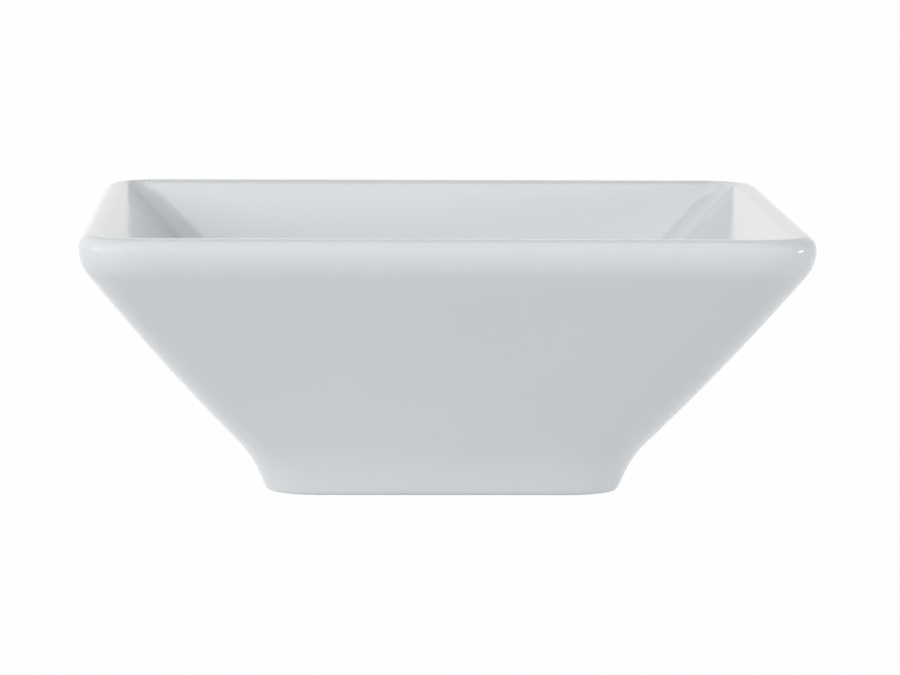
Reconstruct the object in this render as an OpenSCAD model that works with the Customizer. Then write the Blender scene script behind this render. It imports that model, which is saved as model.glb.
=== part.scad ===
// Square soy sauce dish: a fired porcelain body under a coat of clear glaze.
// The body is one piece, with flared walls on a square foot. The glaze covers all of it
// but the ring that stands on the table, so the coat over the bowl and the patch in the
// well under the foot are two separate pieces. Millimetres, +Z up, the origin on the
// table at the middle of the foot.

/* [Dish] */
// Width of the square rim, outside
rim_w = 82; // [74:0.5:96]
// Height from the table to the crest of the rim
dish_h = 31.4; // [28:0.2:38]
// Depth of the bowl, from the crest of the rim to the floor
bowl_depth = 24.4; // [20:0.2:26]

/* [Rim] */
// Thickness of the lip, from its widest point to the slope of the inner wall
lip_t = 2.8; // [2.4:0.1:4]
// Radius of the roll under the lip, where the outer wall turns upright
lip_r = 4.5; // [3:0.1:7]
// Radius of the outer edge of the crest
crest_outer_r = 1.4; // [0.8:0.1:2]
// Radius of the inner edge of the crest
crest_inner_r = 1.2; // [0.6:0.1:2]

/* [Walls] */
// Radius of the outward swell of the outer walls, seen from the side
swell_r = 315; // [160:5:600]
// Angle of the inner walls from upright, in degrees
inner_slope = 45; // [38:0.5:47]
// Radius between the inner walls and the floor
floor_fillet_r = 7; // [4:0.2:10]

/* [Foot] */
// Width of the square foot over its rounded bottom edge
foot_w = 41.4; // [36:0.2:46]
// Angle of the foot's sides from upright, in degrees
foot_flare = 24.5; // [15:0.5:30]
// Length of the foot's straight sides, from the bottom edge to the waist
foot_side = 2.3; // [1:0.1:4]
// Radius of the hollow waist between the foot and the walls
waist_r = 13.7; // [8:0.1:18]
// Radius of the foot's outer bottom edge
foot_edge_r = 1.4; // [0.8:0.1:2.5]
// Width of the flat bare ring that the dish stands on
standing_w = 3.6; // [2:0.1:5]

/* [Well under the foot] */
// Depth of the well
well_depth = 2; // [1.6:0.1:2.8]
// Radius of the edge between the standing ring and the well's side
well_edge_r = 1; // [0.6:0.1:1.4]
// Radius between the well's side and its ceiling
well_fillet_r = 1.4; // [0.6:0.1:1.6]
// Slope of the well's side from level, in degrees
well_slope = 60; // [45:1:70]

/* [Corners, seen from above] */
// How far the rim's corner curve runs along each side, outside
rim_corner_run = 8.7; // [6:0.1:12]
// How far the foot's corner curve runs along each side, outside
foot_corner_run = 7; // [4:0.1:9]
// How far the corner curve of the bowl's flat floor runs along each side
floor_corner_run = 5.6; // [3:0.1:8]
// How far the corner curve of the well's ceiling runs along each side
well_corner_run = 3.8; // [2:0.1:6]
// Power of the corner curve: 2 is a quarter circle, and more leaves the sides more gently
corner_power = 2.6; // [2:0.1:3]

/* [Glaze] */
// Thickness of the glaze
glaze_t = 0.3; // [0.15:0.05:0.5]
// Height over the table at which the glaze ends, on both edges of the standing ring
bare_h = 0.3; // [0.1:0.05:0.6]

/* [Smoothness] */
// Facets in a quarter turn of each corner, seen from above
corner_steps = 8; // [4:1:10]
// Largest turn of one facet along the profile, in degrees
facet_turn = 12; // [8:1:20]
// Facets along the swell of the outer walls
swell_steps = 6; // [3:1:10]

/* [Hidden] */

// Directions of the surface, as angles of its outward normal in the plane of the profile:
// 0 faces straight out, 90 up and -90 down.
FACING_OUT = 0;
FACING_UP = 90;
FACING_DOWN = -90;
facing_foot_side = -foot_flare;
facing_inner_wall = 180 - inner_slope;
facing_well_side = FACING_DOWN - well_slope;

// The glaze ends on each edge of the standing ring where its surface comes down to bare_h,
// and never right at the end of that edge.
LEAST_GLAZED_SHARE = 0.1;
function bare_turn(edge_r, full_turn) =
    min(acos((edge_r - bare_h) / (edge_r + glaze_t)), full_turn * (1 - LEAST_GLAZED_SHARE));
foot_glaze_line = FACING_DOWN + bare_turn(foot_edge_r, facing_foot_side - FACING_DOWN);
well_glaze_line = FACING_DOWN - bare_turn(well_edge_r, well_slope);

// The profile is the surface of the clay. Outside sizes are over the glaze, so the clay
// lies one glaze thickness inside them.
rim_half = rim_w / 2 - glaze_t;
crest_z = dish_h - glaze_t;
foot_half = foot_w / 2 - glaze_t;
floor_z = dish_h - bowl_depth - glaze_t;
floor_r = floor_fillet_r + glaze_t;

// The two edges of the crest keep a flat between them on a thin lip.
CREST_OUTER_SHARE = 0.55;
CREST_INNER_SHARE = 0.35;
crest_outer_clay_r = min(crest_outer_r, lip_t * CREST_OUTER_SHARE - glaze_t);
crest_half_turn = (FACING_UP - inner_slope) / 2;
crest_inner_clay_r = min(crest_inner_r, lip_t * CREST_INNER_SHARE / tan(crest_half_turn) - glaze_t);

function unit(angle) = [cos(angle), sin(angle)];

// The point at distances ra from a and rb from b, on the left of the way from a to b.
function meeting(a, ra, b, rb) =
    let (way = b - a,
         apart = norm(way),
         along = (ra * ra - rb * rb + apart * apart) / (2 * apart),
         aside = sqrt(ra * ra - along * along))
    a + way * along / apart + [-way[1], way[0]] * aside / apart;

function angle_to(from, to) = atan2(to[1] - from[1], to[0] - from[0]);

// Outer profile: centres of its arcs, from the foot up to the crest.
foot_edge_centre = [foot_half - foot_edge_r, foot_edge_r];
waist_start = foot_edge_centre + foot_edge_r * unit(facing_foot_side)
    + foot_side * unit(facing_foot_side + 90);
waist_centre = waist_start + waist_r * unit(facing_foot_side);
crest_outer_centre = [rim_half, crest_z] - crest_outer_clay_r * [1, 1];
lip_centre = [rim_half - lip_r, crest_outer_centre[1]];
swell_centre = meeting(waist_centre, swell_r + waist_r, lip_centre, swell_r - lip_r);
facing_wall_low = angle_to(swell_centre, waist_centre);
facing_wall_high = angle_to(swell_centre, lip_centre);
lip_start = lip_centre + lip_r * unit(facing_wall_high);

// Inner profile: the inner wall is a straight line through inner_wall_top.
inner_wall_top = [rim_w / 2 - lip_t, dish_h] - glaze_t * unit(facing_inner_wall);
// The point at height z that lies a given distance off the inner wall, towards the bowl.
function off_inner_wall(z, distance) =
    [inner_wall_top[0] + ((z - inner_wall_top[1]) * sin(inner_slope) - distance) / cos(inner_slope), z];
crest_inner_centre = off_inner_wall(crest_z - crest_inner_clay_r, -crest_inner_clay_r);
floor_centre = off_inner_wall(floor_z + floor_r, floor_r);

// Well under the foot: its edge, its straight side and its fillet.
well_edge_centre = [foot_edge_centre[0] - standing_w, well_edge_r];
well_side_rise = well_depth - (well_edge_r + well_fillet_r) * (1 - cos(well_slope));
well_side_end = well_edge_centre + well_edge_r * unit(facing_well_side)
    + well_side_rise / sin(well_slope) * unit(facing_well_side - 90);
well_fillet_centre = well_side_end + well_fillet_r * unit(facing_well_side);

// How far from the axes the centre of the corner curve lies, seen from above.
foot_corner = foot_w / 2 - foot_corner_run;
rim_corner = rim_w / 2 - rim_corner_run;
floor_corner = floor_centre[0] - floor_corner_run;
well_corner = well_fillet_centre[0] - well_corner_run;
outer_corner_at = [[waist_start[0], foot_corner], [lip_start[0], rim_corner]];

// One profile point is [half-width, height, facing, corner centre].
function facets(from, to) = max(1, ceil(abs(to - from) / facet_turn));

// A round stretch: r is negative on a hollow one, whose centre lies outside the clay.
// corners is a table from half-width to corner centre.
function arc(centre, r, from, to, corners, steps) =
    [for (i = [0 : steps])
        let (facing = from + (to - from) * i / steps,
             at = centre + r * unit(facing))
        [at[0], at[1], facing, lookup(at[0], corners)]];

function plain_arc(centre, r, from, to, corner) =
    arc(centre, r, from, to, [[0, corner]], facets(from, to));

// The clay under the main coat of glaze, from the foot's edge over the rim to the floor.
glazed_profile = concat(
    plain_arc(foot_edge_centre, foot_edge_r, foot_glaze_line, facing_foot_side, foot_corner),
    arc(waist_centre, -waist_r, facing_foot_side, facing_wall_low, outer_corner_at,
        facets(facing_foot_side, facing_wall_low)),
    arc(swell_centre, swell_r, facing_wall_low, facing_wall_high, outer_corner_at, swell_steps),
    plain_arc(lip_centre, lip_r, facing_wall_high, FACING_OUT, rim_corner),
    plain_arc(crest_outer_centre, crest_outer_clay_r, FACING_OUT, FACING_UP, rim_corner),
    plain_arc(crest_inner_centre, crest_inner_clay_r, FACING_UP, facing_inner_wall, rim_corner),
    plain_arc(floor_centre, -floor_r, facing_inner_wall, FACING_UP, floor_corner));

// The clay under the patch of glaze in the well, from the ceiling down to the well's edge.
well_profile = concat(
    plain_arc(well_fillet_centre, -well_fillet_r, FACING_DOWN, facing_well_side, well_corner),
    plain_arc(well_edge_centre, well_edge_r, facing_well_side, well_glaze_line, well_corner));

// The bare clay that stands on the table, from the well's edge to the foot's edge.
bare_profile = concat(
    plain_arc(well_edge_centre, well_edge_r, well_glaze_line, FACING_DOWN, well_corner),
    plain_arc(foot_edge_centre, foot_edge_r, FACING_DOWN, foot_glaze_line, foot_corner));

// Drops each point that lies where the one before it does, as where two arcs meet.
function thinned(profile) =
    [for (i = [0 : len(profile) - 1])
        if (i == 0 || norm([profile[i][0] - profile[i - 1][0], profile[i][1] - profile[i - 1][1]])
            > glaze_t * SAME_POINT_SHARE) profile[i]];
SAME_POINT_SHARE = 0.001;

function reversed(list) = [for (i = [len(list) - 1 : -1 : 0]) list[i]];

// The profile moved out of the clay by a thickness, along its normals.
function raised(profile, thickness) =
    [for (p = profile)
        [p[0] + thickness * cos(p[2]), p[1] + thickness * sin(p[2]), p[2], p[3]]];

// The corner curve about its centre, from [1, 0] to [0, 1].
corner_curve =
    [for (i = [0 : corner_steps])
        let (turn = 90 * i / corner_steps)
        [pow(cos(turn), 2 / corner_power), pow(sin(turn), 2 / corner_power)]];

function turned(at, angle) = at[0] * unit(angle) + at[1] * unit(angle + 90);

// One level of the dish: a square with rounded corners, counter-clockwise from above.
function ring(p) =
    [for (quarter = [0 : 3], corner_at = corner_curve)
        let (at = turned(p[3] * [1, 1] + (p[0] - p[3]) * corner_at, 90 * quarter))
        [at[0], at[1], p[1]]];

// A closed solid through all the levels of a profile, with a flat face on its first and
// last level.
module loft(profile) {
    levels = len(profile);
    around = 4 * (corner_steps + 1);
    points = [for (p = profile) each ring(p)];
    sides = [for (level = [0 : levels - 2], i = [0 : around - 1])
        let (next = (i + 1) % around,
             low = level * around,
             high = low + around)
        each [[low + i, high + i, high + next], [low + i, high + next, low + next]]];
    first = [for (i = [0 : around - 1]) i];
    last = [for (i = [around - 1 : -1 : 0]) (levels - 1) * around + i];
    polyhedron(points, concat([first], sides, [last]));
}

// The fired clay, from the well's ceiling round the foot, up the outside and into the bowl.
module porcelain_body() {
    color("linen")
        loft(thinned(concat(well_profile, bare_profile, glazed_profile)));
}

// The coat of glaze over the walls, the rim and the bowl, down to the foot's edge.
module glaze_coat() {
    coated = thinned(glazed_profile);
    color("white")
        loft(concat(reversed(coated), raised(coated, glaze_t)));
}

// The patch of glaze in the well under the foot, inside the bare ring.
module foot_well_glaze() {
    coated = thinned(well_profile);
    color("white")
        loft(concat(raised(coated, glaze_t), reversed(coated)));
}

porcelain_body();
glaze_coat();
foot_well_glaze();
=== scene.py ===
# Square soy sauce dish: fired porcelain, its glaze, and a plain pale studio around it.

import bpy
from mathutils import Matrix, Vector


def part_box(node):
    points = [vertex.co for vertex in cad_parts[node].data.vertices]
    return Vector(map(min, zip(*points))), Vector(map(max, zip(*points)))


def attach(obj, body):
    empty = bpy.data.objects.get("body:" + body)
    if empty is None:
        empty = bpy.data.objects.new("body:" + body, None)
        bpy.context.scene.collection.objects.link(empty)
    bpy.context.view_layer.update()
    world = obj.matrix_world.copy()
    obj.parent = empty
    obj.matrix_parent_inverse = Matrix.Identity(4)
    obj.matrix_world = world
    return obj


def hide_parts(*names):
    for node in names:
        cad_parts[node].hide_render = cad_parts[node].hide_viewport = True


bl_info = {
    "name": "Square Soy Sauce Dish",
    "version": (1, 0, 0),
    "blender": (4, 5, 0),
    "location": "View3D > Sidebar > Sauce Dish",
    "description": "Builds a glazed porcelain sauce dish and a plain studio to show it in",
    "category": "Add Mesh",
}

import math
from collections import namedtuple

import bmesh
import bpy
from bpy.props import FloatProperty, FloatVectorProperty, PointerProperty
from mathutils import Matrix, Quaternion, Vector

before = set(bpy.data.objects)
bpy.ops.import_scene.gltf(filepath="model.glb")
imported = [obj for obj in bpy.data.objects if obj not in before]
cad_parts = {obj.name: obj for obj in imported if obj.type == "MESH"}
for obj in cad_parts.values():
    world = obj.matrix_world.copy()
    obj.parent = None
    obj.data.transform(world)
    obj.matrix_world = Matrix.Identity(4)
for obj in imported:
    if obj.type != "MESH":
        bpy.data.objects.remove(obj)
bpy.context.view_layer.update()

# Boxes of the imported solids, which the dish's outside sizes come from
GLAZE_LOW, GLAZE_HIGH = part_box("glaze_coat")
CLAY_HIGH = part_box("porcelain_body")[1]
RIM_WIDTH = GLAZE_HIGH[0] - GLAZE_LOW[0]
DISH_HEIGHT = GLAZE_HIGH[2]
GLAZE_THICKNESS = GLAZE_HIGH[2] - CLAY_HIGH[2]

BODY = "root"

QUARTER_TURN = math.pi / 2

# Directions of the surface, as angles of its outward normal in the plane of the profile
FACING_OUT = 0.0
FACING_UP = QUARTER_TURN
FACING_DOWN = -QUARTER_TURN

# Fineness of the meshes
ARC_STEP = math.radians(5)
SWELL_STEPS = 12
LONGEST_STEP = 0.0025
CORNER_STEPS = 14
SIDE_STEPS = 10
CAP_RINGS = 4
# Stations closer together than this count as one
SAME_PLACE = 1.4e-6

# Glaze creeps off edges as tight as this and pools in hollows as tight as this
EDGE_RADIUS = 0.0014
# At least this share of the turn of each lower edge of the foot is glazed
LEAST_GLAZED_SHARE = 0.1
# Power of the corner curve: 2 would be a plain quarter circle, more leaves the sides gently
CORNER_POWER = 2.6
# The most of the lip's thickness that each edge of its crest rounds off
CREST_OUTER_SHARE = 0.55
CREST_INNER_SHARE = 0.35

# One level of the profile: half-width, height, facing, how far the corner's centre lies
# from the axes, and how the surface bends there (-1 on a tight edge, 1 in a tight hollow)
Station = namedtuple("Station", "half z facing corner bend")

# A lamp that points at the dish: azimuth and elevation in degrees, distance, width and
# height in metres, its watts, and whether the glaze mirrors it
Lamp = namedtuple("Lamp", "name azimuth elevation distance width height watts mirrored")

# Most of a noise texture lies between these
NOISE_LOW = 0.3
NOISE_HIGH = 0.7

WHITE = (1.0, 1.0, 1.0, 1.0)


def length(name, description, default):
    """A size in metres for the sidebar."""
    return FloatProperty(name=name, description=description, default=default, min=0.0,
                         precision=5, unit="LENGTH", subtype="DISTANCE")


def angle(name, description, degrees):
    """An angle for the sidebar."""
    return FloatProperty(name=name, description=description, default=math.radians(degrees),
                         unit="ROTATION", subtype="ANGLE")


def amount(name, description, default):
    """A plain number for the sidebar."""
    return FloatProperty(name=name, description=description, default=default)


def colour(name, description, default):
    """A linear colour for the sidebar."""
    return FloatVectorProperty(name=name, description=description, default=default, size=3,
                               min=0.0, max=1.0, subtype="COLOR")


class DishSizes(bpy.types.PropertyGroup):
    """Sizes of the dish"""
    rim_width: length("Rim width", "Width of the square rim, outside", RIM_WIDTH)
    height: length("Height", "From the table to the crest of the rim", DISH_HEIGHT)
    bowl_depth: length("Bowl depth", "From the crest of the rim to the floor", 0.0244)
    lip_thickness: length("Lip", "Thickness of the lip at its crest", 0.0028)
    lip_radius: length("Lip roll", "Roll under the lip, where the wall turns upright", 0.0045)
    crest_outer: length("Outer crest", "Radius of the crest's outer edge", 0.0014)
    crest_inner: length("Inner crest", "Radius of the crest's inner edge", 0.0012)
    swell: length("Swell", "Radius of the outward swell of the outer walls", 0.315)
    inner_slope: angle("Inner slope", "Angle of the inner walls from upright", 45)
    floor_fillet: length("Floor fillet", "Radius between the inner walls and the floor", 0.007)
    foot_width: length("Foot width", "Width of the square foot", 0.0414)
    foot_flare: angle("Foot flare", "Angle of the foot's sides from upright", 24.5)
    foot_side: length("Foot side", "Length of the foot's straight sides", 0.0023)
    waist: length("Waist", "Radius of the hollow between the foot and the walls", 0.0137)
    foot_edge: length("Foot edge", "Radius of the foot's outer bottom edge", 0.0014)
    standing: length("Standing ring", "Width of the flat bare ring on the table", 0.0036)
    well_depth: length("Well depth", "Depth of the well under the foot", 0.002)
    well_edge: length("Well edge", "Radius of the well's lower edge", 0.001)
    well_fillet: length("Well fillet", "Radius between the well's side and ceiling", 0.0014)
    well_slope: angle("Well slope", "Slope of the well's side from level", 60)
    rim_corner: length("Rim corner", "Run of the rim's corner curve along each side", 0.0087)
    foot_corner: length("Foot corner", "Run of the foot's corner curve along each side", 0.007)
    bowl_corner: length("Bowl corner", "Run of the inner walls' corner curve at their top", 0.003)
    floor_corner: length("Floor corner", "Run of the flat floor's corner curve", 0.0015)
    well_corner: length("Well corner", "Run of the corner curve of the well's ceiling", 0.0038)
    glaze: length("Glaze", "Thickness of the glaze", GLAZE_THICKNESS)
    bare_height: length("Bare height", "Height over the table at which the glaze ends", 0.00006)
    glaze_bead: length("Glaze bead", "Length of the rounded end of the glaze", 0.00025)


class DishFinish(bpy.types.PropertyGroup):
    """Colours of the clay and the glaze"""
    glaze: colour("Glaze", "White porcelain seen through clear glaze", (0.735, 0.765, 0.79))
    thin: colour("Thin glaze", "Where the glaze has crept off an edge", (0.75, 0.775, 0.795))
    pooled: colour("Pooled glaze", "Where the glaze has run together", (0.69, 0.735, 0.76))
    speck: colour("Speck", "Fine iron specks in the glaze", (0.36, 0.33, 0.30))
    clay: colour("Clay", "Bare fired porcelain", (0.80, 0.79, 0.77))
    rubbed: colour("Rubbed clay", "Grey rub marks on the standing ring", (0.42, 0.40, 0.38))


class StudioSettings(bpy.types.PropertyGroup):
    """Camera, floor and even light"""
    distance: length("Camera distance", "From the middle of the dish", 0.5611)
    elevation: angle("Elevation", "Height of the camera over level", 6.68)
    azimuth: angle("Azimuth", "Turn of the camera round the dish", -1.62)
    roll: angle("Roll", "Tilt of the camera about its view", 0.29)
    lens: amount("Lens", "Focal length in millimetres on a 36 mm sensor", 189.65)
    shift_x: amount("Shift X", "Sideways shift of the picture, in picture widths", 0.0121)
    shift_y: amount("Shift Y", "Upward shift of the picture, in picture widths", 0.0024)
    floor: colour("Floor", "Pale table top", (0.88, 0.88, 0.88))
    floor_cloud: colour("Floor cloud", "Faint clouds on the table top", (0.84, 0.84, 0.84))
    ambient: amount("Ambient", "Strength of the even white light all round", 0.05)


def unit(facing):
    """Direction of an angle in the plane of the profile."""
    return Vector((math.cos(facing), math.sin(facing)))


def meeting(a, ra, b, rb):
    """The point at distances ra from a and rb from b, left of the way from a to b."""
    way = b - a
    apart = way.length
    along = (ra * ra - rb * rb + apart * apart) / (2 * apart)
    aside = math.sqrt(ra * ra - along * along)
    return a + way * (along / apart) + Vector((-way.y, way.x)) * (aside / apart)


def angle_to(start, end):
    """Angle of the way from one point of the profile to another."""
    return math.atan2(end.y - start.y, end.x - start.x)


def fixed(centre):
    """A corner centre that stays in place at every half-width."""
    def corner(half):
        return centre
    return corner


def sliding(half_a, centre_a, half_b, centre_b):
    """A corner centre that slides with the half-width from one place to another."""
    def corner(half):
        share = (half - half_a) / (half_b - half_a)
        return centre_a + (centre_b - centre_a) * min(max(share, 0.0), 1.0)
    return corner


def arc(centre, radius, start, end, corner, hollow=False, steps=None):
    """A round stretch of the profile. corner gives the corner's centre at a half-width."""
    steps = steps or max(1, math.ceil(abs(end - start) / ARC_STEP))
    reach = -radius if hollow else radius
    bend = EDGE_RADIUS / max(radius, EDGE_RADIUS) * (1 if hollow else -1)
    stations = []
    for i in range(steps + 1):
        facing = start + (end - start) * i / steps
        at = centre + reach * unit(facing)
        stations.append(Station(at.x, at.y, facing, corner(at.x), bend))
    return stations


def mixed(a, b, share):
    """The station between two others."""
    return Station(*(p + (q - p) * share for p, q in zip(a, b)))


def gap_between(a, b):
    """Straight distance between two stations."""
    return math.hypot(b.half - a.half, b.z - a.z)


def filled(stations):
    """Drops doubled stations and puts more on the long straight stretches."""
    out = [stations[0]]
    for station in stations[1:]:
        last = out[-1]
        gap = gap_between(last, station)
        if gap < SAME_PLACE:
            continue
        parts = math.ceil(gap / LONGEST_STEP)
        out += [mixed(last, station, i / parts) for i in range(1, parts)]
        out.append(station)
    return out


class DishProfile:
    """The surface of the clay, as stations from the well under the foot to the bowl's floor."""

    def __init__(self, sizes):
        glaze = sizes.glaze
        side = -sizes.foot_flare
        inner = math.pi - sizes.inner_slope
        well_side = FACING_DOWN - sizes.well_slope
        rim_half = sizes.rim_width / 2 - glaze
        crest_z = sizes.height - glaze
        foot_half = sizes.foot_width / 2 - glaze
        floor_z = sizes.height - sizes.bowl_depth - glaze
        floor_r = sizes.floor_fillet + glaze
        outer_r = min(sizes.crest_outer, sizes.lip_thickness * CREST_OUTER_SHARE - glaze)
        run_per_radius = math.tan((FACING_UP - sizes.inner_slope) / 2)
        inner_limit = sizes.lip_thickness * CREST_INNER_SHARE / run_per_radius - glaze
        inner_r = min(sizes.crest_inner, inner_limit)

        # Outside: the foot's edge and side, the waist, the swelling wall and the lip
        foot_centre = Vector((foot_half - sizes.foot_edge, sizes.foot_edge))
        side_start = foot_centre + sizes.foot_edge * unit(side)
        waist_start = side_start + sizes.foot_side * unit(side + QUARTER_TURN)
        waist_centre = waist_start + sizes.waist * unit(side)
        outer_centre = Vector((rim_half - outer_r, crest_z - outer_r))
        lip_centre = Vector((rim_half - sizes.lip_radius, outer_centre.y))
        swell_centre = meeting(waist_centre, sizes.swell + sizes.waist,
                               lip_centre, sizes.swell - sizes.lip_radius)
        wall_low = angle_to(swell_centre, waist_centre)
        wall_high = angle_to(swell_centre, lip_centre)
        lip_start = lip_centre + sizes.lip_radius * unit(wall_high)

        # Inside: the crest's inner edge, the straight wall and the floor's fillet
        lip_inside = Vector((sizes.rim_width / 2 - sizes.lip_thickness, sizes.height))
        wall_top = lip_inside - glaze * unit(inner)

        def off_wall(z, distance):
            """The point at a height that lies this far off the inner wall, in the bowl."""
            run = (z - wall_top.y) * math.sin(sizes.inner_slope) - distance
            return Vector((wall_top.x + run / math.cos(sizes.inner_slope), z))

        inner_centre = off_wall(crest_z - inner_r, -inner_r)
        inner_end = inner_centre.x - inner_r * math.cos(sizes.inner_slope)
        floor_centre = off_wall(floor_z + floor_r, floor_r)

        # Underneath: the well's edge, side and fillet
        edge_centre = Vector((foot_centre.x - sizes.standing, sizes.well_edge))
        rounding = (sizes.well_edge + sizes.well_fillet) * (1 - math.cos(sizes.well_slope))
        side_length = (sizes.well_depth - rounding) / math.sin(sizes.well_slope)
        side_end = (edge_centre + sizes.well_edge * unit(well_side)
                    + side_length * unit(well_side - QUARTER_TURN))
        well_centre = side_end + sizes.well_fillet * unit(well_side)

        # Where the centres of the corners lie
        foot_corner = sizes.foot_width / 2 - sizes.foot_corner
        rim_corner = sizes.rim_width / 2 - sizes.rim_corner
        bowl_corner = inner_end - sizes.bowl_corner
        at_foot = fixed(foot_corner)
        on_wall = sliding(waist_start.x, foot_corner, lip_start.x, rim_corner)
        at_rim = fixed(rim_corner)
        on_inner_crest = sliding(inner_centre.x, rim_corner, inner_end, bowl_corner)
        at_floor = fixed(floor_centre.x - sizes.floor_corner)
        in_well = fixed(well_centre.x - sizes.well_corner)

        def bare_turn(edge, full):
            """How far round a lower edge the bare clay reaches."""
            drop = (edge - sizes.bare_height) / (edge + glaze)
            return min(math.acos(drop), full * (1 - LEAST_GLAZED_SHARE))

        foot_line = FACING_DOWN + bare_turn(sizes.foot_edge, side - FACING_DOWN)
        well_line = FACING_DOWN - bare_turn(sizes.well_edge, sizes.well_slope)

        # Under the main coat, from the foot's edge over the rim to the floor
        self.coated = filled(
            arc(foot_centre, sizes.foot_edge, foot_line, side, at_foot)
            + arc(waist_centre, sizes.waist, side, wall_low, on_wall, hollow=True)
            + arc(swell_centre, sizes.swell, wall_low, wall_high, on_wall, steps=SWELL_STEPS)
            + arc(lip_centre, sizes.lip_radius, wall_high, FACING_OUT, at_rim)
            + arc(outer_centre, outer_r, FACING_OUT, FACING_UP, at_rim)
            + arc(inner_centre, inner_r, FACING_UP, inner, on_inner_crest)
            + arc(floor_centre, floor_r, inner, FACING_UP, at_floor, hollow=True))
        # Under the patch in the well, from its ceiling down to its edge
        self.well = filled(
            arc(well_centre, sizes.well_fillet, FACING_DOWN, well_side, in_well, hollow=True)
            + arc(edge_centre, sizes.well_edge, well_side, well_line, in_well))
        # Bare clay between the two, which stands on the table
        self.bare = filled(
            arc(edge_centre, sizes.well_edge, well_line, FACING_DOWN, in_well)
            + arc(foot_centre, sizes.foot_edge, FACING_DOWN, foot_line, at_foot))


def raised(stations, thickness, bead):
    """The stations moved out by the glaze, which thins out round at its first station."""
    out = []
    run = 0.0
    for i, station in enumerate(stations):
        if i:
            run += gap_between(stations[i - 1], station)
        ease = 1 - min(run / bead, 1.0)
        rise = thickness * math.sqrt(1 - ease * ease)
        out.append(station._replace(half=station.half + rise * math.cos(station.facing),
                                    z=station.z + rise * math.sin(station.facing)))
    return out


def corner_point(share):
    """A point of the corner curve, from (1, 0) at 0 to (0, 1) at 1."""
    turn = share * QUARTER_TURN
    power = 2 / CORNER_POWER
    return Vector((max(math.cos(turn), 0.0) ** power, math.sin(turn) ** power))


def ring(station):
    """Points of one level, counter-clockwise from above, each with how the surface bends."""
    radius = station.half - station.corner
    corner_bend = -math.cos(station.facing) * EDGE_RADIUS / max(radius, EDGE_RADIUS)
    rise = Vector((0, 0, station.z))
    points = []
    for quarter in range(4):
        turn = Matrix.Rotation(quarter * QUARTER_TURN, 2)
        for i in range(CORNER_STEPS + 1):
            share = i / CORNER_STEPS
            at = Vector((station.corner, station.corner)) + radius * corner_point(share)
            bend = station.bend + corner_bend * math.sin(share * math.pi)
            points.append(((turn @ at).to_3d() + rise, bend))
        for i in range(1, SIDE_STEPS):
            at = Vector((station.corner * (1 - 2 * i / SIDE_STEPS), station.half))
            points.append(((turn @ at).to_3d() + rise, station.bend))
    return points


def capped(stations):
    """Levels that close in on the middle from the last station, all at its height."""
    last = stations[-1]
    levels = []
    for i in range(1, CAP_RINGS):
        share = 1 - i / CAP_RINGS
        levels.append(last._replace(half=last.half * share, corner=last.corner * share, bend=0.0))
    return levels


def neighbours(verts):
    """Each vertex of a closed ring with the next one."""
    return list(zip(verts, verts[1:] + verts[:1]))


def loft(name, stations, sharp_level=None):
    """A closed smooth mesh through all the stations, with a flat cap at each end.

    sharp_level is the station that gets a sharp edge, if one does.
    """
    levels = capped(stations[::-1])[::-1] + stations + capped(stations)
    mesh = bmesh.new()
    bend_layer = mesh.verts.layers.float.new("bend")
    rings = []
    for level in levels:
        verts = []
        for point, bend in ring(level):
            vert = mesh.verts.new(point)
            vert[bend_layer] = bend
            verts.append(vert)
        rings.append(verts)
    for low, high in zip(rings, rings[1:]):
        for (a, b), (c, d) in zip(neighbours(low), neighbours(high)):
            mesh.faces.new((a, b, d, c))
    first_middle = mesh.verts.new((0, 0, levels[0].z))
    for a, b in neighbours(rings[0]):
        mesh.faces.new((b, a, first_middle))
    last_middle = mesh.verts.new((0, 0, levels[-1].z))
    for a, b in neighbours(rings[-1]):
        mesh.faces.new((a, b, last_middle))
    for face in mesh.faces:
        face.smooth = True
    if sharp_level is not None:
        for pair in neighbours(rings[sharp_level + CAP_RINGS - 1]):
            mesh.edges.get(pair).smooth = False
    data = bpy.data.meshes.new(name)
    mesh.to_mesh(data)
    mesh.free()
    piece = bpy.data.objects.new(name, data)
    bpy.context.scene.collection.objects.link(piece)
    return piece


def placed(piece, node, material):
    """Gives a piece its material and ties it to the solid that it stands for."""
    piece.data.materials.append(material)
    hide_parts(node)
    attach(piece, BODY)


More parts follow.
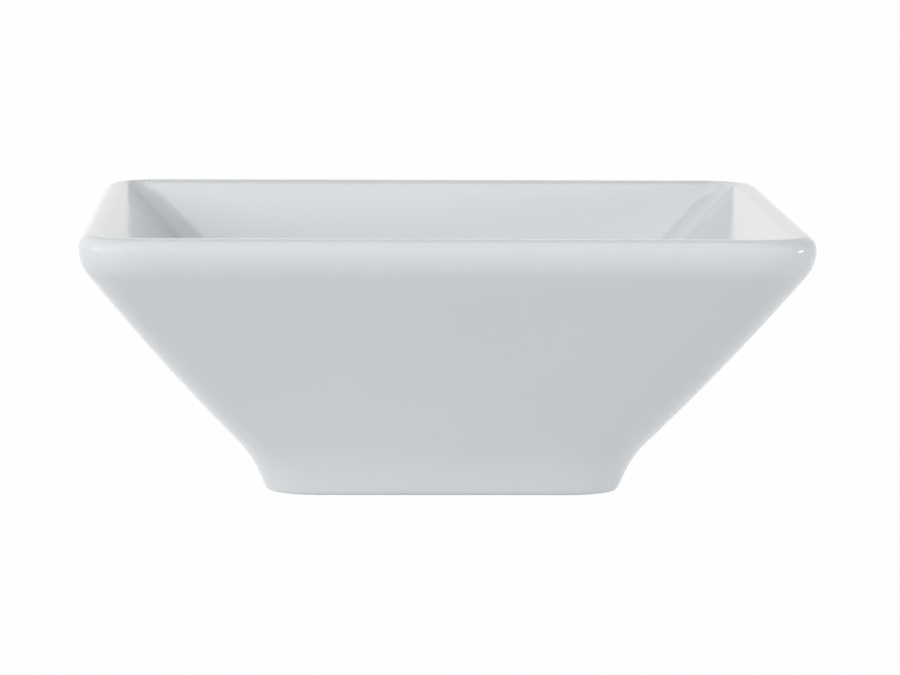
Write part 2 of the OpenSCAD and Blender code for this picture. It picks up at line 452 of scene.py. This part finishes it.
class Nodes:
    """Shortcuts for building the nodes of one material or of the world."""

    def __init__(self, owner, output):
        owner.use_nodes = True
        self.tree = owner.node_tree
        self.tree.nodes.clear()
        self.output = self.add(output)

    def add(self, kind, **settings):
        """A new node with some of its settings."""
        node = self.tree.nodes.new(kind)
        for key, value in settings.items():
            setattr(node, key, value)
        return node

    def link(self, start, end):
        """Joins two sockets."""
        self.tree.links.new(start, end)

    def noise(self, where, scale, detail=3.0, roughness=0.5):
        """Cloudy noise, with its scale per metre."""
        node = self.add("ShaderNodeTexNoise")
        node.inputs["Scale"].default_value = scale
        node.inputs["Detail"].default_value = detail
        node.inputs["Roughness"].default_value = roughness
        self.link(where, node.inputs["Vector"])
        return node.outputs["Fac"]

    def span(self, value, low, high, to_low=0.0, to_high=1.0):
        """A value stretched from one range to another, and held at its ends."""
        node = self.add("ShaderNodeMapRange")
        node.inputs["From Min"].default_value = low
        node.inputs["From Max"].default_value = high
        node.inputs["To Min"].default_value = to_low
        node.inputs["To Max"].default_value = to_high
        self.link(value, node.inputs["Value"])
        return node.outputs["Result"]

    def noise_span(self, noise, to_low, to_high):
        """Noise stretched to a range."""
        return self.span(noise, NOISE_LOW, NOISE_HIGH, to_low, to_high)

    def calculate(self, operation, a, b):
        """Two values put through one operation; each is a socket or a number."""
        node = self.add("ShaderNodeMath", operation=operation)
        for socket, value in zip(node.inputs, (a, b)):
            if isinstance(value, (int, float)):
                socket.default_value = value
            else:
                self.link(value, socket)
        return node.outputs[0]

    def mix(self, share, a, b):
        """A mix of two colours; each is a socket or a colour."""
        node = self.add("ShaderNodeMix", data_type="RGBA")
        self.link(share, node.inputs["Factor"])
        for key, value in (("A", a), ("B", b)):
            socket = next(s for s in node.inputs if s.name == key and s.type == "RGBA")
            if hasattr(value, "is_output"):
                self.link(value, socket)
            else:
                socket.default_value = (*value, 1.0)
        return next(s for s in node.outputs if s.type == "RGBA")

    def bump(self, height, distance, normal=None):
        """A bumped normal, over another one if it is given."""
        node = self.add("ShaderNodeBump")
        node.inputs["Strength"].default_value = 1.0
        node.inputs["Distance"].default_value = distance
        self.link(height, node.inputs["Height"])
        if normal:
            self.link(normal, node.inputs["Normal"])
        return node.outputs["Normal"]

    def mix_shaders(self, share, a, b):
        """A mix of two shaders."""
        node = self.add("ShaderNodeMixShader")
        self.link(share, node.inputs["Fac"])
        self.link(a, node.inputs[1])
        self.link(b, node.inputs[2])
        return node.outputs["Shader"]

    def seen(self):
        """1 for the camera's rays and for what gloss and glass show, 0 for the rest."""
        rays = self.add("ShaderNodeLightPath")
        camera = rays.outputs["Is Camera Ray"]
        gloss = rays.outputs["Is Glossy Ray"]
        glass = rays.outputs["Is Transmission Ray"]
        return self.calculate("MAXIMUM", self.calculate("MAXIMUM", camera, gloss), glass)


def empty_material(name):
    """A material, new or found by its name, and shortcuts for its nodes."""
    material = bpy.data.materials.get(name) or bpy.data.materials.new(name)
    return material, Nodes(material, "ShaderNodeOutputMaterial")


# Glaze: noise scales per metre, bump heights in metres
TINT_SCALE = 70.0
TINT_DETAIL = 4.0
TINT_DRIFT = 0.25
GLOSS_SCALE = 160.0
GLAZE_ROUGHNESS = (0.06, 0.11)
GLAZE_IOR = 1.5
BUMP_DETAIL = 2.0
WAVE_SCALE = 55.0
WAVE_HEIGHT = 0.00004
PEEL_SCALE = 900.0
PEEL_HEIGHT = 0.000004
# Specks: cells per metre, size in cells, and the draws from which a cell gets one
SPECK_SCALE = 95.0
SPECK_CORE = 0.016
SPECK_EDGE = 0.034
SPECK_DRAW = (0.86, 0.88)
SPECK_STRENGTH = 0.35


def glaze_material(finish):
    """Clear gloss glaze over white porcelain, thin on edges and pooled in hollows."""
    material, n = empty_material("clear_glaze")
    where = n.add("ShaderNodeTexCoord").outputs["Object"]
    bend = n.add("ShaderNodeAttribute", attribute_name="bend").outputs["Fac"]
    cloud = n.noise(where, TINT_SCALE, TINT_DETAIL)
    drift = n.calculate("ADD", bend, n.noise_span(cloud, -TINT_DRIFT, TINT_DRIFT))
    thin_or_even = n.mix(n.span(drift, -1.0, 0.0), finish.thin, finish.glaze)
    tint = n.mix(n.span(drift, 0.0, 1.0), thin_or_even, finish.pooled)

    # Fine iron specks, in a few of the cells only
    cells = n.add("ShaderNodeTexVoronoi")
    cells.inputs["Scale"].default_value = SPECK_SCALE
    n.link(where, cells.inputs["Vector"])
    draw = n.add("ShaderNodeSeparateColor")
    n.link(cells.outputs["Color"], draw.inputs["Color"])
    dot = n.span(cells.outputs["Distance"], SPECK_CORE, SPECK_EDGE, 1.0, 0.0)
    chosen = n.span(draw.outputs["Red"], *SPECK_DRAW)
    speck = n.calculate("MULTIPLY", n.calculate("MULTIPLY", dot, chosen), SPECK_STRENGTH)

    shader = n.add("ShaderNodeBsdfPrincipled")
    shader.inputs["IOR"].default_value = GLAZE_IOR
    n.link(n.mix(speck, tint, finish.speck), shader.inputs["Base Color"])
    gloss = n.noise_span(n.noise(where, GLOSS_SCALE), *GLAZE_ROUGHNESS)
    n.link(gloss, shader.inputs["Roughness"])
    wave = n.bump(n.noise(where, WAVE_SCALE, BUMP_DETAIL), WAVE_HEIGHT)
    peel = n.bump(n.noise(where, PEEL_SCALE, BUMP_DETAIL), PEEL_HEIGHT, wave)
    n.link(peel, shader.inputs["Normal"])
    n.link(shader.outputs["BSDF"], n.output.inputs["Surface"])
    return material


# Bare clay: noise scales per metre, heights in metres
GRAIN_SCALE = 2600.0
GRAIN_DETAIL = 4.0
GRAIN_HEIGHT = 0.00003
GRAIN_SHADE = 0.18
RUB_SCALE = 420.0
RUB_DETAIL = 6.0
RUB_RANGE = (0.56, 0.72)
RUB_STRENGTH = 0.5
RUB_TOP = 0.0003
CLAY_NOISE_ROUGHNESS = 0.7
CLAY_ROUGHNESS = (0.62, 0.82)
CLAY_IOR = 1.45


def clay_material(finish):
    """Bare fired porcelain: fine grained, matt, with grey rub marks where it stands."""
    material, n = empty_material("bare_porcelain")
    where = n.add("ShaderNodeTexCoord").outputs["Object"]
    grain = n.noise(where, GRAIN_SCALE, GRAIN_DETAIL, CLAY_NOISE_ROUGHNESS)
    patches = n.noise(where, RUB_SCALE, RUB_DETAIL, CLAY_NOISE_ROUGHNESS)
    rubs = n.span(patches, *RUB_RANGE, 0.0, RUB_STRENGTH)
    height = n.add("ShaderNodeSeparateXYZ")
    n.link(where, height.inputs["Vector"])
    on_table = n.span(height.outputs["Z"], 0.0, RUB_TOP, 1.0, 0.0)
    worn = n.calculate("MULTIPLY", rubs, on_table)
    shade = n.mix(n.noise_span(grain, 0.0, GRAIN_SHADE), finish.clay, finish.rubbed)

    shader = n.add("ShaderNodeBsdfPrincipled")
    shader.inputs["IOR"].default_value = CLAY_IOR
    n.link(n.mix(worn, shade, finish.rubbed), shader.inputs["Base Color"])
    n.link(n.noise_span(grain, *CLAY_ROUGHNESS), shader.inputs["Roughness"])
    n.link(n.bump(grain, GRAIN_HEIGHT), shader.inputs["Normal"])
    n.link(shader.outputs["BSDF"], n.output.inputs["Surface"])
    return material


# Floor: noise scale per metre, the strength of its clouds, and how much of it is plain
# white where it is seen; the rest keeps the dish's shadow
FLOOR_SCALE = 9.0
FLOOR_CLOUDS = 0.03
FLOOR_WHITE = 0.985


def floor_material(settings):
    """Pale table top: near white to the camera, and it keeps the dish's shadow."""
    material, n = empty_material("pale_table")
    where = n.add("ShaderNodeTexCoord").outputs["Object"]
    matt = n.add("ShaderNodeBsdfDiffuse")
    clouds = n.noise_span(n.noise(where, FLOOR_SCALE), 0.0, FLOOR_CLOUDS)
    n.link(n.mix(clouds, settings.floor, settings.floor_cloud), matt.inputs["Color"])
    white = n.add("ShaderNodeEmission")
    white.inputs["Color"].default_value = WHITE
    lift = n.calculate("MULTIPLY", n.seen(), FLOOR_WHITE)
    top = n.mix_shaders(lift, matt.outputs["BSDF"], white.outputs["Emission"])
    # The underside is clear, so that the foot can be seen from below
    clear = n.add("ShaderNodeBsdfTransparent").outputs["BSDF"]
    from_below = n.add("ShaderNodeNewGeometry").outputs["Backfacing"]
    n.link(n.mix_shaders(from_below, top, clear), n.output.inputs["Surface"])
    return material


class DISH_OT_porcelain_body(bpy.types.Operator):
    """Make the fired clay with its bare standing ring"""
    bl_idname = "sauce_dish.porcelain_body"
    bl_label = "Porcelain Body"

    def execute(self, context):
        profile = DishProfile(context.scene.dish_sizes)
        stations = profile.well + profile.bare[1:] + profile.coated[1:]
        piece = loft("porcelain_body_clay", stations)
        placed(piece, "porcelain_body", clay_material(context.scene.dish_finish))
        return {"FINISHED"}


class DISH_OT_glaze_coat(bpy.types.Operator):
    """Make the coat of glaze over the walls, the rim and the bowl"""
    bl_idname = "sauce_dish.glaze_coat"
    bl_label = "Glaze Coat"

    def execute(self, context):
        sizes = context.scene.dish_sizes
        under = DishProfile(sizes).coated
        over = raised(under, sizes.glaze, sizes.glaze_bead)
        piece = loft("glaze_coat_gloss", under[::-1] + over[1:], sharp_level=len(under) - 1)
        placed(piece, "glaze_coat", glaze_material(context.scene.dish_finish))
        return {"FINISHED"}


class DISH_OT_foot_well_glaze(bpy.types.Operator):
    """Make the patch of glaze in the well under the foot"""
    bl_idname = "sauce_dish.foot_well_glaze"
    bl_label = "Foot Well Glaze"

    def execute(self, context):
        sizes = context.scene.dish_sizes
        under = DishProfile(sizes).well[::-1]
        over = raised(under, sizes.glaze, sizes.glaze_bead)
        piece = loft("foot_well_glaze_gloss", over[:0:-1] + under, sharp_level=len(over) - 1)
        placed(piece, "foot_well_glaze", glaze_material(context.scene.dish_finish))
        return {"FINISHED"}


class DISH_OT_studio(bpy.types.Operator):
    """Make the pale floor, the soft lamps and the camera"""
    bl_idname = "sauce_dish.studio"
    bl_label = "Studio"

    LAMPS = (
        Lamp("key_softbox", -35, 40, 1.0, 0.7, 0.7, 1.8, False),
        Lamp("fill_softbox", 15, 40, 1.0, 0.7, 0.7, 2.4, False),
        Lamp("left_softbox", -60, 20, 1.0, 0.6, 0.5, 2.4, False),
        Lamp("left_card", -80, 29, 0.9, 0.9, 0.8, 2.1, False),
        Lamp("left_strip", -83, 12, 0.9, 0.4, 0.3, 0.8, True),
        Lamp("right_card", 48, 3, 0.9, 0.7, 0.08, 1.9, False),
        Lamp("right_strip", 87, 10, 1.0, 0.28, 0.18, 1.0, True),
        Lamp("back_strip", 180, 12, 1.1, 1.2, 0.35, 3.2, False),
        Lamp("top_strip", 0, 86, 1.0, 0.5, 0.16, 0.46, True),
    )
    FLOOR_RADIUS = 6.0
    FLOOR_SIDES = 96
    # Width of the sensor in millimetres, and the nearest that the camera sees, in metres
    SENSOR_WIDTH = 36.0
    NEAREST_SEEN = 0.01

    def execute(self, context):
        settings = context.scene.dish_studio
        middle = Vector((0, 0, context.scene.dish_sizes.height / 2))
        self.floor(context, settings)
        self.world(context, settings)
        for lamp in self.LAMPS:
            self.lamp(context, middle, lamp)
        self.camera(context, settings, middle)
        context.scene.view_settings.view_transform = "Standard"
        return {"FINISHED"}

    def floor(self, context, settings):
        """Lays the round table top."""
        mesh = bmesh.new()
        bmesh.ops.create_circle(mesh, cap_ends=True, segments=self.FLOOR_SIDES,
                                radius=self.FLOOR_RADIUS)
        data = bpy.data.meshes.new("pale_floor")
        mesh.to_mesh(data)
        mesh.free()
        floor = bpy.data.objects.new("pale_floor", data)
        context.scene.collection.objects.link(floor)
        data.materials.append(floor_material(settings))

    def world(self, context, settings):
        """Sets a white surround where it is seen, and a faint even light from it."""
        world = bpy.data.worlds.get("studio") or bpy.data.worlds.new("studio")
        context.scene.world = world
        n = Nodes(world, "ShaderNodeOutputWorld")
        soft = n.add("ShaderNodeBackground")
        soft.inputs["Color"].default_value = WHITE
        soft.inputs["Strength"].default_value = settings.ambient
        white = n.add("ShaderNodeBackground")
        white.inputs["Color"].default_value = WHITE
        white.inputs["Strength"].default_value = 1.0
        surround = n.mix_shaders(n.seen(), soft.outputs["Background"], white.outputs["Background"])
        n.link(surround, n.output.inputs["Surface"])

    def lamp(self, context, middle, lamp):
        """Hangs one soft lamp, pointed at the dish."""
        data = bpy.data.lights.new(lamp.name, "AREA")
        data.shape = "RECTANGLE"
        data.size = lamp.width
        data.size_y = lamp.height
        data.energy = lamp.watts
        light = bpy.data.objects.new(lamp.name, data)
        context.scene.collection.objects.link(light)
        light.visible_camera = False
        light.visible_glossy = lamp.mirrored
        way = around(math.radians(lamp.azimuth), math.radians(lamp.elevation))
        light.location = middle + lamp.distance * way
        light.rotation_euler = (middle - light.location).to_track_quat("-Z", "Y").to_euler()

    def camera(self, context, settings, middle):
        """Sets the camera up at the photograph's angle."""
        data = bpy.data.cameras.new("camera")
        data.sensor_fit = "HORIZONTAL"
        data.sensor_width = self.SENSOR_WIDTH
        data.lens = settings.lens
        data.shift_x = settings.shift_x
        data.shift_y = settings.shift_y
        data.clip_start = self.NEAREST_SEEN
        camera = bpy.data.objects.new("camera", data)
        context.scene.collection.objects.link(camera)
        camera.location = middle + settings.distance * around(settings.azimuth, settings.elevation)
        aim = (middle - camera.location).to_track_quat("-Z", "Y")
        camera.rotation_euler = (aim @ Quaternion((0, 0, 1), settings.roll)).to_euler()
        context.scene.camera = camera


def around(azimuth, elevation):
    """Direction from the dish: azimuth 0 is the side that faces the camera."""
    level = math.cos(elevation)
    return Vector((math.sin(azimuth) * level, -math.cos(azimuth) * level, math.sin(elevation)))


class DISH_PT_sidebar(bpy.types.Panel):
    """Sizes, finishes and makers of the dish"""
    bl_idname = "DISH_PT_sidebar"
    bl_label = "Sauce Dish"
    bl_space_type = "VIEW_3D"
    bl_region_type = "UI"
    bl_category = "Sauce Dish"

    def draw(self, context):
        for maker in MAKERS:
            self.layout.operator(maker.bl_idname)
        for key in GROUPS:
            group = getattr(context.scene, key)
            box = self.layout.box()
            for name in group.__annotations__:
                box.prop(group, name)


GROUPS = {"dish_sizes": DishSizes, "dish_finish": DishFinish, "dish_studio": StudioSettings}
MAKERS = (DISH_OT_porcelain_body, DISH_OT_glaze_coat, DISH_OT_foot_well_glaze, DISH_OT_studio)
CLASSES = (*GROUPS.values(), *MAKERS, DISH_PT_sidebar)


def register():
    """Makes the settings, makers and sidebar known to Blender."""
    for cls in CLASSES:
        bpy.utils.register_class(cls)
    for key, group in GROUPS.items():
        setattr(bpy.types.Scene, key, PointerProperty(type=group))


def unregister():
    """Takes them out again."""
    for key in GROUPS:
        delattr(bpy.types.Scene, key)
    for cls in reversed(CLASSES):
        bpy.utils.unregister_class(cls)


def main():
    """Makes the dish and the studio."""
    register()
    bpy.ops.sauce_dish.porcelain_body()
    bpy.ops.sauce_dish.glaze_coat()
    bpy.ops.sauce_dish.foot_well_glaze()
    bpy.ops.sauce_dish.studio()


if __name__ == "__main__":
    main()
